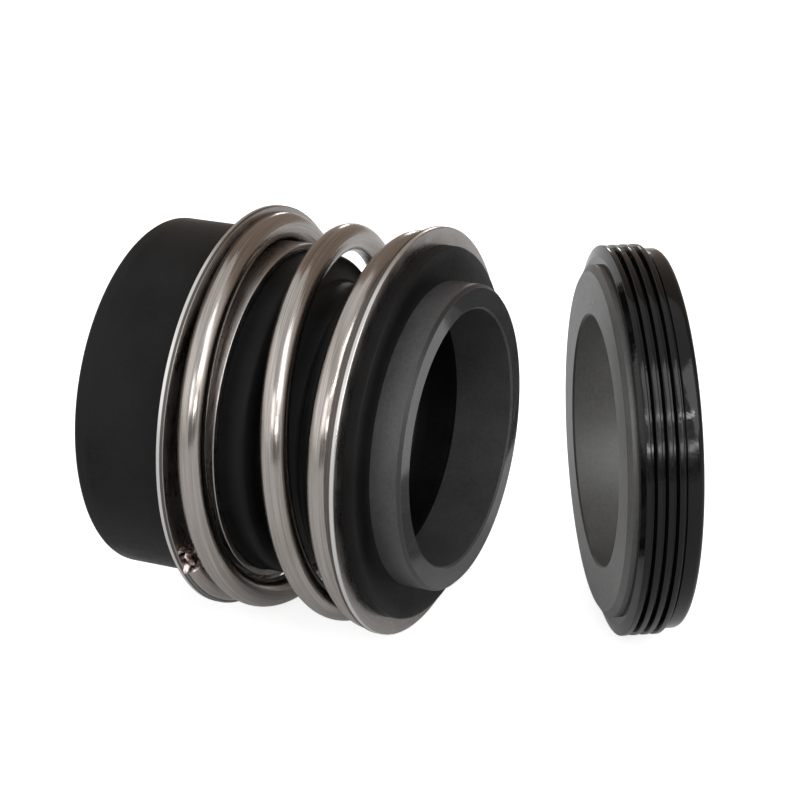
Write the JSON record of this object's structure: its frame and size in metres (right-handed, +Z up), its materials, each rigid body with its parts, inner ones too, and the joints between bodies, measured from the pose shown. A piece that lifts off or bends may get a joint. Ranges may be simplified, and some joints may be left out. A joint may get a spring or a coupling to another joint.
{
  "type": "mechanical seal",
  "caption": "Shaft seal set: rubber bellows head with spring, collars and lapped face ring, beside its stationary ring in a ribbed rubber cup.",
  "frame": {"origin": "centre of the bellows' rear end, on the head's shaft axis", "axes": "+X along the shaft axis from the bellows' tail towards the sealing face, +Z up as the set stands on a surface"},
  "size_m": [0.0629, 0.0487, 0.0426],
  "materials": {
    "rubber": "satin black moulded rubber",
    "collar_steel": "pressed stainless sheet, bright",
    "spring_steel": "drawn stainless wire, bright",
    "face_ceramic": "ground grey ceramic with a lapped face",
    "seat_ceramic": "ground grey ceramic with a lapped face"
  },
  "bodies": {
    "seat": {"seat_ring": "seat_ceramic", "seat_cup": "rubber"},
    "rotary": {"bellows": "rubber", "rear_collar": "collar_steel", "spring": "spring_steel"},
    "face": {"face_ring": "face_ceramic", "front_collar": "collar_steel"}
  },
  "joints": [
    {"name": "shaft_spin", "type": "hinge", "parent": "seat", "child": "rotary", "pos_m": [0, 0, 0], "axis": [1, 0, 0], "continuous": true},
    {"name": "face_travel", "type": "slide", "parent": "rotary", "child": "face", "axis": [1, 0, 0], "range_m": [-0.004, 0], "stiffness_N_per_m": 9000, "deforming": ["spring", "bellows"]}
  ]
}
